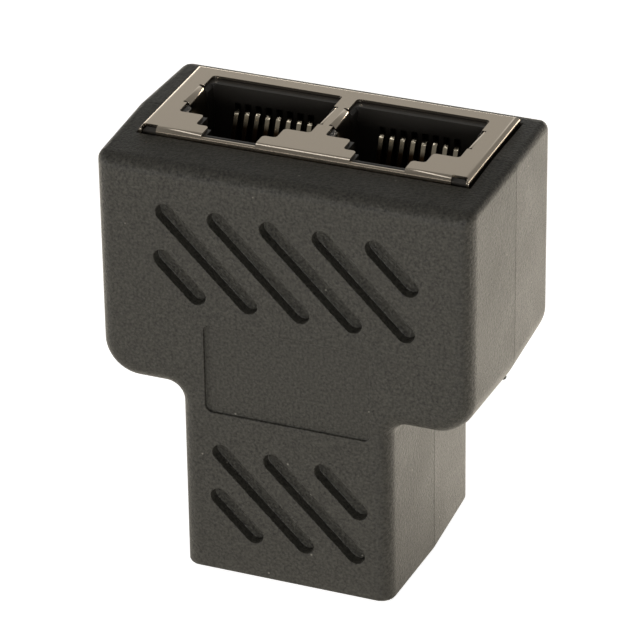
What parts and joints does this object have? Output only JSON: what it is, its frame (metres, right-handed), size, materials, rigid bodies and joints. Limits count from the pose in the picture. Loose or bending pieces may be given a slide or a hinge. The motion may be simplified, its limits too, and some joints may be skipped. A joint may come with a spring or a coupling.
{
  "type": "network cable splitter adapter",
  "caption": "Hand-sized Y adapter: moulded casing with grip grooves, side-by-side shielded sockets at its wide end and one at its narrow end.",
  "frame": {"origin": "middle of the base: the lower socket's plate, on which the adapter stands", "axes": "+X to the right seen from the front face with the grooves, +Y from the front face to the back, +Z from the single socket up to the pair"},
  "size_m": [0.0358, 0.021, 0.0419],
  "materials": {
    "casing": "fine matt grain",
    "shield": "plated sheet",
    "socket_plastic": "satin",
    "carrier_plastic": "satin",
    "contact_metal": "polished",
    "board": "lacquered laminate"
  },
  "bodies": {
    "root": {"front_shell": "casing", "back_shell": "casing", "circuit_board": "board", "upper_shield": "shield", "lower_shield": "shield", "upper_housing": "socket_plastic", "lower_housing": "socket_plastic", "upper_left_contact_carrier": "carrier_plastic", "upper_right_contact_carrier": "carrier_plastic", "lower_contact_carrier": "carrier_plastic", "upper_left_contact_1": "contact_metal", "upper_left_contact_2": "contact_metal", "upper_left_contact_3": "contact_metal", "upper_left_contact_4": "contact_metal", "upper_left_contact_5": "contact_metal", "upper_left_contact_6": "contact_metal", "upper_left_contact_7": "contact_metal", "upper_left_contact_8": "contact_metal", "upper_right_contact_1": "contact_metal", "upper_right_contact_2": "contact_metal", "upper_right_contact_3": "contact_metal", "upper_right_contact_4": "contact_metal", "upper_right_contact_5": "contact_metal", "upper_right_contact_6": "contact_metal", "upper_right_contact_7": "contact_metal", "upper_right_contact_8": "contact_metal", "lower_contact_1": "contact_metal", "lower_contact_2": "contact_metal", "lower_contact_3": "contact_metal", "lower_contact_4": "contact_metal", "lower_contact_5": "contact_metal", "lower_contact_6": "contact_metal", "lower_contact_7": "contact_metal", "lower_contact_8": "contact_metal"}
  },
  "joints": []
}
